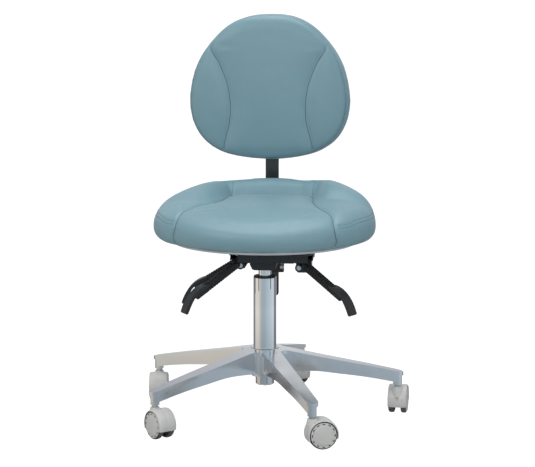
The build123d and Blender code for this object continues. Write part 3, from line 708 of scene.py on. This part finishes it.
seat_raw = seat_shape(2.6, "seat_raw")
seat_work = remesh(seat_raw, 0.005, "seat_work")
seam_main = [seat_line(rear_seam), seat_line(side_seam), seat_line(mirror(side_seam)), seat_line(radial), seat_line(mirror(radial))]
whole = [*mirror(upper)[::1], *upper[::-1][1:]]
seam_soft = [seat_line([*mirror(upper), *upper[::-1][1:]]), seat_line([*mirror(lower), *lower[::-1][1:]])]
seat_work = inflate(seat_work, "seat_work", np.concatenate(seam_main[:3]), lambda c: c[:, 2] < 0.3965, 6.0 * MM)
seat = subdivide(seat_work, "seat_upholstery", M_LEATHER)
relax(seat, 6, 0.5)
tree = bvh_of(seat)
main_on = [project(tree, l)[0] for l in seam_main]
soft_on = [project(tree, l)[0] for l in seam_soft]
press_seams(seat, main_on[:1], 4.6 * MM, 5.0 * MM, 0.5 * MM)
press_seams(seat, main_on[1:3], 3.2 * MM, 4.2 * MM, 0.5 * MM)
press_seams(seat, main_on[3:], 0.7 * MM, 2.6 * MM, 0.1 * MM)
press_seams(seat, soft_on, 0.7 * MM, 3.0 * MM, 0.25 * MM)
undulate(seat, 0.45 * MM, 0.055)
relax(seat, 1, 0.4)
tree = bvh_of(seat)
# dark lines in the seat's main seam valleys: painted crease shade
seam_shade_lines = []
for i, l in enumerate(main_on):
    p, n = project(tree, l, -0.1 * MM, 2)
    seam_shade_lines.append(tube(p, (0.85, 0.75, 0.75, 0.45, 0.45)[i] * MM, f"s_{i}", M_SEAM_SHADE, nors=n, flat=0.8))
seat_seams = join(seam_shade_lines, "seat_seam_shade_lines")
rows = []
for i, l in enumerate(soft_on):
    p, n = project(tree, l, 0.0, 2)
    rows.append(stitches(p, n, f"st_{i}", M_THREAD))
seat_stitch = join(rows, "seat_topstitching")
for o in (seat, seat_seams, seat_stitch):
    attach(o, "seat")
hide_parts("seat_cushion")


# ------------------------------------------------------------------ back cushion
BACK_HALF = [(0, 540.4), (30, 541.6), (60, 545.4), (92, 552.2), (120, 563.9), (146, 583.3), (164, 608.5), (174.7, 638),
             (178.6, 674), (173.2, 719), (158.8, 762), (133, 803), (94.5, 841), (52, 861.6), (0, 866.8)]
BX = -5.5                    # the pad sits a little to one side of the upright
BC = 700.0


def back_loop(n):
    pts = BACK_HALF + [(-x, z) for x, z in BACK_HALF[-2:0:-1]]
    d = catmull([(x, 0, z) for x, z in pts], 1.0, closed=True)
    s = np.r_[0, np.cumsum(np.linalg.norm(np.diff(np.vstack([d, d[:1]]), axis=0), axis=1))]
    q = np.linspace(0, s[-1], n, endpoint=False)
    dd = np.vstack([d, d[:1]])
    return np.c_[np.interp(q, s, dd[:, 0]), np.interp(q, s, dd[:, 2])]


def back_shape(shrink, name):
    loop = back_loop(180)
    rel = loop - np.array([0, BC])
    R = np.hypot(rel[:, 0], rel[:, 1])
    front, rear, r = 171.2 + shrink, 223.6, 15.0

    def ring(inset, y):
        k = ((R - inset) / R)[:, None]
        q = rel * k
        return np.c_[q[:, 0], np.full(len(q), y) if np.isscalar(y) else y, q[:, 1] + BC] * MM

    def crown(frac):
        return front - 7.9 * (1 - frac ** 2.2)

    rings = [[(0, crown(0) * MM, BC * MM)]]
    for f in np.linspace(0, 0.93, 18)[1:]:
        q = rel * f
        rings.append(np.c_[q[:, 0], np.full(len(q), crown(f)), q[:, 1] + BC] * MM)
    for k in range(0, 9):
        a = k / 8 * math.pi / 2
        rings.append(ring(shrink + r * (1 - math.sin(a)), front + r * (1 - math.cos(a))))
    for y, tuck in ((194, 0.4), (204, 0.9), (213, 1.6)):
        rings.append(ring(shrink + tuck, y))
    for k in range(1, 5):
        a = k / 4 * math.pi / 2
        rings.append(ring(shrink + 2.0 + 5 * (1 - math.cos(a)), 218 + (rear - 218) * math.sin(a)))
    for f in (0.75, 0.4):
        q = rel * f
        rings.append(np.c_[q[:, 0], np.full(len(q), rear), q[:, 1] + BC] * MM)
    rings.append([(0, rear * MM, BC * MM)])
    return ring_mesh(rings, name)


back_seam_r = [(135, 798), (124, 781), (112, 764), (102.5, 744), (94, 722), (89, 704), (85.5, 684), (83.6, 655), (86, 624.5), (90, 609), (94, 594), (98, 577), (102, 560)]
edge_loop = back_loop(240)
rel = edge_loop - np.array([0, BC])
RR = np.hypot(rel[:, 0], rel[:, 1])
k_ = ((RR - 1.0) / RR)[:, None]
edge_in = rel * k_
rim_line = np.c_[edge_in[:, 0] + BX, 178.5 + 12.0 * smoothstep((edge_in[:, 1] + BC - 740) / 90), edge_in[:, 1] + BC] * MM


def back_line(points):
    return catmull([((x + BX) * MM, 0.164, z * MM) for x, z in points], 2.0 * MM)


back_raw = back_shape(2.2, "back_raw")
c = coords(back_raw)
c[:, 0] += BX * MM * smoothstep((208 - c[:, 1] * 1e3) / 26)
set_coords(back_raw, c)
back_work = remesh(back_raw, 0.005, "back_work")
b_main = [back_line(back_seam_r), back_line(mirror(back_seam_r))]
back_work = inflate(back_work, "back_work", np.concatenate([project(bvh_of(back_work), l)[0] for l in [*b_main, rim_line]]), lambda c: c[:, 1] > 0.2165, 5.5 * MM)
back = subdivide(back_work, "back_upholstery", M_LEATHER)
relax(back, 5, 0.5)
tree = bvh_of(back)
b_on = [project(tree, l)[0] for l in b_main]
rim_on = project(tree, rim_line, 0, 3)[0]
press_seams(back, b_on, 2.6 * MM, 4.6 * MM, 0.4 * MM)
press_seams(back, [rim_on], 1.4 * MM, 2.6 * MM, 0.2 * MM)
undulate(back, 0.4 * MM, 0.06)
relax(back, 1, 0.4)
tree = bvh_of(back)
# dark lines in the back seams and the rim seam: painted crease shade
seam_shade_lines = []
for i, l in enumerate(b_on):
    p, n = project(tree, l, -0.1 * MM, 2)
    seam_shade_lines.append(tube(p, 0.65 * MM, f"b_{i}", M_SEAM_SHADE, nors=n, flat=0.8))
p, n = project(tree, rim_on, -0.1 * MM, 2)
seam_shade_lines.append(tube(p, 0.6 * MM, "b_rim", M_SEAM_SHADE, nors=n, flat=0.8, closed=True))
back_seams = join(seam_shade_lines, "back_seam_shade_lines")
for o in (back, back_seams):
    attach(o, "backrest")
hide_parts("back_cushion")


# ------------------------------------------------------------------ casters
ARM_R, ARM_TURN = 290.6, 5.5
TRAILS = [309.0, 17.0, 84.0, 129.0, 273.0]
ARMS = [3, 4, 0, 1, 2]


def solid(name, verts, faces):
    o = make(name, verts, faces)
    bm = bmesh.new()
    bm.from_mesh(o.data)
    bmesh.ops.recalc_face_normals(bm, faces=bm.faces)
    bm.to_mesh(o.data)
    bm.free()
    return o


def lathe(profile, name, mat=None, seg=96, axis_o=(20, 0, 30), a0=0.0):
    """profile (r, v) turned round the wheel axle, which runs along local y"""
    rings = []
    for r, v in profile:
        if r < 1e-6:
            rings.append([(axis_o[0] * MM, v * MM, axis_o[2] * MM)])
        else:
            rings.append([((axis_o[0] + r * math.cos(a0 + 2 * math.pi * k / seg)) * MM, v * MM, (axis_o[2] + r * math.sin(a0 + 2 * math.pi * k / seg)) * MM) for k in range(seg)])
    if len(rings[0]) > 1 and len(rings[-1]) > 1 and profile[0] == profile[-1]:
        n = seg
        verts = [p for r in rings[:-1] for p in r]
        faces = []
        m = len(rings) - 1
        for i in range(m):
            j = (i + 1) % m
            for k in range(n):
                l = (k + 1) % n
                faces.append((i * n + k, i * n + l, j * n + l, j * n + k))
        return solid(name, verts, faces)
    return ring_mesh(rings, name, mat)


def boolean(o, cutter, op, name):
    m = o.modifiers.new("b", "BOOLEAN")
    m.operation = op
    m.solver = "EXACT"
    m.object = cutter
    bpy.context.view_layer.update()
    new = evaluated(o, name)
    bpy.data.objects.remove(cutter, do_unlink=True)
    return new


def hood_mesh():
    """twin arches over the wheels with a valley on the stem side and a socket that flows into them; local u along the trail, v to the side"""
    W = 20.7
    angs = np.radians(np.linspace(-17, 203, 89))
    vs = np.linspace(-W, W, 57)
    rings = []
    inner = []
    for a in angs:
        deg = math.degrees(a)
        row = []
        for v in vs:
            e = abs(v) / W
            r = 33.2 - 1.1 * e ** 3 - 1.6 * max(0, (e - 0.9) / 0.1) ** 2
            # valley on the stem side: widest at the socket, closing to a point lower down
            k = max(0.0, min(1.0, (deg - 96) / 34))
            k = k * k * (3 - 2 * k)
            width = 9.8 * max(0.0, min(1.0, (188 - deg) / 62)) ** 0.8
            if width > 0.3:
                q = min(1.0, abs(v) / width)
                r -= k * 7.5 * (1 - q * q * (3 - 2 * q)) * min(1.0, width / 7)
            # shallow dip between the arches over the top
            r -= 0.7 * math.exp(-(v / 4.0) ** 2) * (1 - k)
            row.append(((20 + r * math.cos(a)) * MM, v * MM, (30 + r * math.sin(a)) * MM))
        rings.append(row)
        inner.append([((20 + 24.0 * math.cos(a)) * MM, v * MM, (30 + 24.0 * math.sin(a)) * MM) for v in vs])
    nv, na = len(vs), len(angs)
    verts = [p for r in rings for p in r] + [p for r in inner for p in r]
    off = nv * na
    faces = []
    for i in range(na - 1):
        for j in range(nv - 1):
            faces.append((i * nv + j, i * nv + j + 1, (i + 1) * nv + j + 1, (i + 1) * nv + j))
            faces.append((off + i * nv + j, off + (i + 1) * nv + j, off + (i + 1) * nv + j + 1, off + i * nv + j + 1))
        for j in (0, nv - 1):
            faces.append((i * nv + j, (i + 1) * nv + j, off + (i + 1) * nv + j, off + i * nv + j))
    for i in (0, na - 1):
        for j in range(nv - 1):
            faces.append((i * nv + j, off + i * nv + j, off + i * nv + j + 1, i * nv + j + 1))
    arch = solid("hood_arch", verts, faces)
    # socket: flared neck
    prof = [(0, 40), (12.5, 40), (12.3, 50), (11.2, 56), (10.0, 60.2), (9.6, 62.2), (9.2, 63.2), (0, 63.3)]
    seg = 64
    nr = [[(0, 0, prof[0][1] * MM)]] + [[(r * math.cos(2 * math.pi * k / seg) * MM, r * math.sin(2 * math.pi * k / seg) * MM, z * MM) for k in range(seg)] for r, z in prof[1:-1]] + [[(0, 0, prof[-1][1] * MM)]]
    neck = ring_mesh(nr, "hood_neck")
    both = boolean(arch, neck, "UNION", "hood_union")
    both = remesh(both, 0.0008, "hood_rm")
    # blend where the neck meets the arches, and keep the lip of the sides crisp
    c = coords(both)
    near = np.clip(1 - np.abs(np.hypot(c[:, 0], c[:, 1]) * 1e3 - 11.5) / 6.5, 0, 1) * (c[:, 2] > 0.046) * (c[:, 2] < 0.0615)
    relax(both, 14, 0.5, keep=1 - near)
    relax(both, 2, 0.5)
    for s in (1, -1):
        cut = lathe([(0, s * 6.7), (31.2, s * 6.7), (31.2, s * 19.2), (29.65, s * 19.35), (29.65, s * 26), (0, s * 26)], "cut", seg=128)
        both = boolean(both, cut, "DIFFERENCE", "hood_cut")
    # axle boss between the wheels, and the web down to it
    boss = lathe([(3.9, -6.6), (9, -6.6), (9, 6.6), (3.9, 6.6), (3.9, -6.6)], "boss", seg=48)
    both = join([both, boss], "hood_all")
    web = []
    for i in range(41):
        a = math.radians(-17 + 220 * i / 40)
        web.append(a)
    wv, wf = [], []
    for a in web:
        for r in (8.5, 25.5):
            for v in (-6.6, 6.6):
                wv.append(((20 + r * math.cos(a)) * MM, v * MM, (30 + r * math.sin(a)) * MM))
    for i in range(40):
        b, d = i * 4, (i + 1) * 4
        wf += [(b, b + 2, d + 2, d), (b + 1, d + 1, d + 3, b + 3), (b, d, d + 1, b + 1), (b + 2, b + 3, d + 3, d + 2)]
    wf += [(0, 1, 3, 2), (160, 162, 163, 161)]
    both = join([both, solid("web", wv, wf)], "hood_all")
    both.data.polygons.foreach_set("use_smooth", [True] * len(both.data.polygons))
    both.data.materials.clear()
    both.data.materials.append(M_CASTER)
    both.data.polygons.foreach_set("material_index", [0] * len(both.data.polygons))
    both.data.set_sharp_from_angle(angle=math.radians(38))
    return both.data, both


def wheel_mesh():
    prof = [(4.1, 7.4), (7.6, 7.4), (8.2, 8.0), (8.6, 12.0), (24.2, 12.0), (25.0, 8.4), (25.8, 7.6), (27.2, 7.3), (28.6, 7.9), (29.6, 9.2), (30.0, 11.0),
            (30.0, 13.4), (29.96, 15.4), (29.7, 17.0), (29.1, 18.2), (28.6, 18.7), (28.4, 17.4), (27.3, 17.4), (27.1, 19.0), (26.8, 19.9), (26.3, 20.2), (25.9, 20.28), (25.2, 20.29), (23.2, 20.3),
            (22.9, 20.3), (22.5, 20.1), (22.2, 19.7), (21.9, 20.2), (21.3, 20.6), (18, 21.0), (12, 21.4), (6, 21.6), (0, 21.65)]
    seg = 180
    o = lathe(prof, "wheel", seg=seg)
    me = o.data
    for m in (M_CASTER, M_TREAD, M_RECESS_SHADE):
        me.materials.append(m)
    bm = bmesh.new()
    bm.from_mesh(me)
    slot_faces = []
    for f in bm.faces:
        c = f.calc_center_median()
        u, w, v = c.x * 1e3 - 20, c.z * 1e3 - 30, c.y * 1e3
        r = math.hypot(u, w)
        if r > 28.5 or (r > 25.4 and v < 15):
            f.material_index = 1
        # material 2 is painted shade: the groove beside the tread and the inner face toward the hood are coloured near
        # black
        elif 27.05 < r <= 28.5 and v < 19:
            f.material_index = 2
        elif v < 12.3:
            f.material_index = 2
        if 23.2 < r < 25.2 and v > 20:
            ang = (math.degrees(math.atan2(w, u)) + 15) % 30
            if abs(ang - 15) < 6.6:
                slot_faces.append(f)
    ext = bmesh.ops.extrude_face_region(bm, geom=slot_faces)
    moved = [g for g in ext["geom"] if isinstance(g, bmesh.types.BMVert)]
    for vtx in moved:
        vtx.co.y -= 1.6 * MM
    bmesh.ops.delete(bm, geom=slot_faces, context="FACES_ONLY")
    for f in bm.faces:
        c = f.calc_center_median()
        r = math.hypot(c.x * 1e3 - 20, c.z * 1e3 - 30)
        # the slot floors get the painted-shade material too
        if 23.0 < r < 25.4 and 18.5 < c.y * 1e3 < 20.2:
            f.material_index = 2
    bmesh.ops.recalc_face_normals(bm, faces=bm.faces)
    bm.to_mesh(me)
    bm.free()
    me.polygons.foreach_set("use_smooth", [True] * len(me.polygons))
    me.set_sharp_from_angle(angle=math.radians(35))
    return me, o


hood_data, hood_obj = hood_mesh()
wheel_data, wheel_obj = wheel_mesh()
# twin hood and two disc wheels for each caster, in place of the CAD parts
for n in range(5):
    a = math.radians(ARM_TURN + 72 * ARMS[n])
    t = math.radians(TRAILS[n])
    fwd = Vector((math.cos(t), math.sin(t), 0))
    side = Vector((-math.sin(t), math.cos(t), 0))
    foot = Vector((ARM_R * math.cos(a), ARM_R * math.sin(a), 0)) * MM
    place = Matrix((( fwd.x, side.x, 0, foot.x), (fwd.y, side.y, 0, foot.y), (0, 0, 1, foot.z), (0, 0, 0, 1)))
    b = f"caster_{n + 1}"
    h = bpy.data.objects.new(f"{b}_twin_hood", hood_data)
    scene.collection.objects.link(h)
    h.matrix_world = place
    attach(h, b)
    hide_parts(f"{b}_hood")
    for word, spin in (("left", 0.0), ("right", math.pi)):
        w = bpy.data.objects.new(f"{b}_disc_wheel_{word}", wheel_data)
        scene.collection.objects.link(w)
        axle = Matrix.Translation((20 * MM, 0, 0))
        w.matrix_world = place @ axle @ Matrix.Rotation(spin, 4, "Z") @ axle.inverted()
        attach(w, f"{b}_{word}")
        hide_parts(f"{b}_wheel_{word}")
bpy.data.objects.remove(hood_obj, do_unlink=True)
bpy.data.objects.remove(wheel_obj, do_unlink=True)


# ------------------------------------------------------------------ camera, light, floor
cam_data = bpy.data.cameras.new("camera")
cam = bpy.data.objects.new("camera", cam_data)
scene.collection.objects.link(cam)
rot, dip = math.radians(4.0), 0.1583
forward = Vector((-math.sin(rot) * math.cos(dip), math.cos(rot) * math.cos(dip), -math.sin(dip)))
cam.location = (0.2987, -4.1894, 1.0735)
cam.rotation_mode = "QUATERNION"
cam.rotation_quaternion = forward.to_track_quat("-Z", "Y")
cam_data.sensor_width = 36
cam_data.sensor_fit = "HORIZONTAL"
cam_data.lens = 132.46
cam_data.clip_end = 100
scene.camera = cam

world = bpy.data.worlds.new("studio")
scene.world = world
world.use_nodes = True
wn = world.node_tree
wn.nodes.clear()
wout = wn.nodes.new("ShaderNodeOutputWorld")
bg_seen = wn.nodes.new("ShaderNodeBackground")
bg_lit = wn.nodes.new("ShaderNodeBackground")
mixw = wn.nodes.new("ShaderNodeMixShader")
lp = wn.nodes.new("ShaderNodeLightPath")
bg_seen.inputs["Color"].default_value = (1, 1, 1, 1)
bg_seen.inputs["Strength"].default_value = 1.02
tcw = wn.nodes.new("ShaderNodeTexCoord")
sep = wn.nodes.new("ShaderNodeSeparateXYZ")
wn.links.new(tcw.outputs["Generated"], sep.inputs[0])
up = wn.nodes.new("ShaderNodeMapRange")
for k, v in (("From Min", -0.2), ("From Max", 0.9), ("To Min", 0.0), ("To Max", 1.0)):
    up.inputs[k].default_value = v
wn.links.new(sep.outputs["Z"], up.inputs["Value"])
ramp = wn.nodes.new("ShaderNodeValToRGB")
els = ramp.color_ramp.elements
els[0].position, els[0].color = 0.0, (0.62, 0.62, 0.61, 1)
els[1].position, els[1].color = 1.0, (0.95, 0.96, 1.0, 1)
for pos, c in ((0.16, (0.70, 0.70, 0.70, 1)), (0.24, (0.40, 0.41, 0.43, 1)), (0.5, (0.62, 0.63, 0.66, 1))):
    e = els.new(pos)
    e.color = c
wn.links.new(up.outputs["Result"], ramp.inputs["Fac"])
wn.links.new(ramp.outputs["Color"], bg_lit.inputs["Color"])
bg_lit.inputs["Strength"].default_value = 0.55
wn.links.new(lp.outputs["Is Camera Ray"], mixw.inputs[0])
wn.links.new(bg_lit.outputs[0], mixw.inputs[1])
wn.links.new(bg_seen.outputs[0], mixw.inputs[2])
wn.links.new(mixw.outputs[0], wout.inputs["Surface"])


def area(name, loc, target, size, power, color=(1, 1, 1), size_y=None):
    d = bpy.data.lights.new(name, "AREA")
    d.energy = power
    d.color = color
    d.size = size
    if size_y:
        d.shape = "RECTANGLE"
        d.size_y = size_y
    o = bpy.data.objects.new(name, d)
    scene.collection.objects.link(o)
    o.location = loc
    o.rotation_mode = "QUATERNION"
    o.rotation_quaternion = (Vector(target) - Vector(loc)).to_track_quat("-Z", "Y")
    return o


area("top", (0.1, 0.1, 3.0), (0, 0, 0.4), 2.4, 40)
area("key", (-1.9, -2.4, 2.2), (0, 0, 0.45), 1.3, 23, (1.0, 0.985, 0.96))
area("front", (0.2, -2.7, 1.3), (0, 0.17, 0.75), 0.9, 12)
area("fill", (2.3, -1.9, 1.1), (0, 0, 0.4), 0.9, 9, (0.94, 0.97, 1.0), 1.6)
area("rear_left", (-1.8, 2.0, 1.6), (0, 0, 0.4), 1.0, 9, (1, 1, 1), 1.6)
area("rear_right", (1.9, 2.1, 1.8), (0, 0, 0.5), 1.0, 9, (1, 1, 1), 1.6)


# 0.5 is the viewer's side, below it the object's left, above it the right
BANDS = [(0.0, (0.78, 0.80, 0.82)), (0.07, (0.50, 0.52, 0.55)), (0.13, (0.14, 0.15, 0.17)), (0.18, (0.34, 0.35, 0.37)), (0.225, (0.80, 0.79, 0.75)),
         (0.30, (0.88, 0.81, 0.70)), (0.36, (0.74, 0.70, 0.64)), (0.42, (0.44, 0.50, 0.54)), (0.50, (0.42, 0.50, 0.56)), (0.60, (0.52, 0.62, 0.69)),
         (0.70, (0.60, 0.71, 0.78)), (0.77, (0.72, 0.78, 0.82)), (0.82, (0.26, 0.27, 0.29)), (0.87, (0.12, 0.13, 0.15)), (0.93, (0.46, 0.48, 0.51)), (1.0, (0.78, 0.80, 0.82))]


# soft boxes and dark flags round the object, seen only in its polished metal
def ring_of_light():
    n, R, H = 180, 1.25, 2.3
    verts, faces = [], []
    for k in range(n):
        a = 2 * math.pi * k / n
        verts.append((R * math.sin(a), -R * math.cos(a), 0.0))
        verts.append((R * math.sin(a), -R * math.cos(a), H))
    for k in range(n):
        j = (k + 1) % n
        faces.append((2 * k, 2 * j, 2 * j + 1, 2 * k + 1))
    o = make("studio_ring", verts, faces, None, False)
    me = o.data
    at = me.attributes.new("turn", "FLOAT", "POINT")
    at.data.foreach_set("value", [((i // 2) / n) for i in range(2 * n)])
    mt = bpy.data.materials.new("studio_ring")
    mt.use_nodes = True
    nt = mt.node_tree
    nt.nodes.clear()
    out = nt.nodes.new("ShaderNodeOutputMaterial")
    em = nt.nodes.new("ShaderNodeEmission")
    geo = nt.nodes.new("ShaderNodeTexCoord")
    sp = nt.nodes.new("ShaderNodeSeparateXYZ")
    at2 = nt.nodes.new("ShaderNodeMath")
    at2.operation = "ARCTAN2"
    mr = nt.nodes.new("ShaderNodeMapRange")
    mr.inputs["From Min"].default_value = -math.pi
    mr.inputs["From Max"].default_value = math.pi
    rp = nt.nodes.new("ShaderNodeValToRGB")
    ny = nt.nodes.new("ShaderNodeMath")
    ny.operation = "MULTIPLY"
    ny.inputs[1].default_value = -1.0
    nt.links.new(geo.outputs["Object"], sp.inputs[0])
    nt.links.new(sp.outputs["Y"], ny.inputs[0])
    nt.links.new(sp.outputs["X"], at2.inputs[0])
    nt.links.new(ny.outputs[0], at2.inputs[1])
    nt.links.new(at2.outputs[0], mr.inputs["Value"])
    nt.links.new(mr.outputs["Result"], rp.inputs["Fac"])
    stops = BANDS
    els = rp.color_ramp.elements
    while len(els) < len(stops):
        els.new(0.5)
    for e, (p, c) in zip(els, stops):
        e.position = p
        e.color = (*c, 1)
    nt.links.new(rp.outputs["Color"], em.inputs["Color"])
    em.inputs["Strength"].default_value = 0.9
    nt.links.new(em.outputs[0], out.inputs["Surface"])
    me.materials.append(mt)
    o.visible_camera = False
    o.visible_diffuse = False
    o.visible_shadow = False
    o.visible_transmission = False
    o.visible_volume_scatter = False


ring_of_light()

fm = Mat("floor_paper")
fcol = fm.ramp(fm.noise(2.0, 2, 0.5), [(0.3, (0.50, 0.50, 0.50)), (0.7, (0.54, 0.54, 0.54))])
fm.finish(fcol, fm.remap(fm.noise(40, 2, 0.5), 0.75, 0.9), None)
glow = fm.nt.nodes.new("ShaderNodeEmission")
glow.inputs["Color"].default_value = (1, 1, 1, 1)
glow.inputs["Strength"].default_value = 1.22
lpf = fm.nt.nodes.new("ShaderNodeLightPath")
# polished metal sees the floor as soft bands, darker near the base
spf = fm.nt.nodes.new("ShaderNodeSeparateXYZ")
fm.link(fm.co, spf.inputs[0])
turn_f = fm.math("ARCTAN2", spf.outputs["X"], fm.math("MULTIPLY", spf.outputs["Y"], -1.0))
dist_f = fm.math("SQRT", fm.math("ADD", fm.math("MULTIPLY", spf.outputs["X"], spf.outputs["X"]), fm.math("MULTIPLY", spf.outputs["Y"], spf.outputs["Y"])))
bands = fm.ramp(fm.remap(turn_f, 0.0, 1.0, -math.pi, math.pi), BANDS)
sheen = fm.nt.nodes.new("ShaderNodeEmission")
fm.link(bands, sheen.inputs["Color"])
fm.link(fm.remap(dist_f, 0.62, 0.98, 0.45, 1.25), sheen.inputs["Strength"])
mixg = fm.nt.nodes.new("ShaderNodeMixShader")
fm.link(lpf.outputs["Is Glossy Ray"], mixg.inputs[0])
fm.link(fm.bsdf.outputs["BSDF"], mixg.inputs[1])
fm.link(sheen.outputs[0], mixg.inputs[2])
half = fm.math("MULTIPLY", lpf.outputs["Is Camera Ray"], 0.86)
mixf = fm.nt.nodes.new("ShaderNodeMixShader")
fm.link(half, mixf.inputs[0])
fm.link(mixg.outputs[0], mixf.inputs[1])
fm.link(glow.outputs[0], mixf.inputs[2])
fm.link(mixf.outputs[0], fm.out.inputs["Surface"])
S = 30.0
floor = make("floor", [(-S, -S, -0.0004), (S, -S, -0.0004), (S, S, -0.0004), (-S, S, -0.0004)], [(0, 1, 2, 3)], fm.m, False)

scene.view_settings.view_transform = "Standard"
scene.view_settings.look = "None"
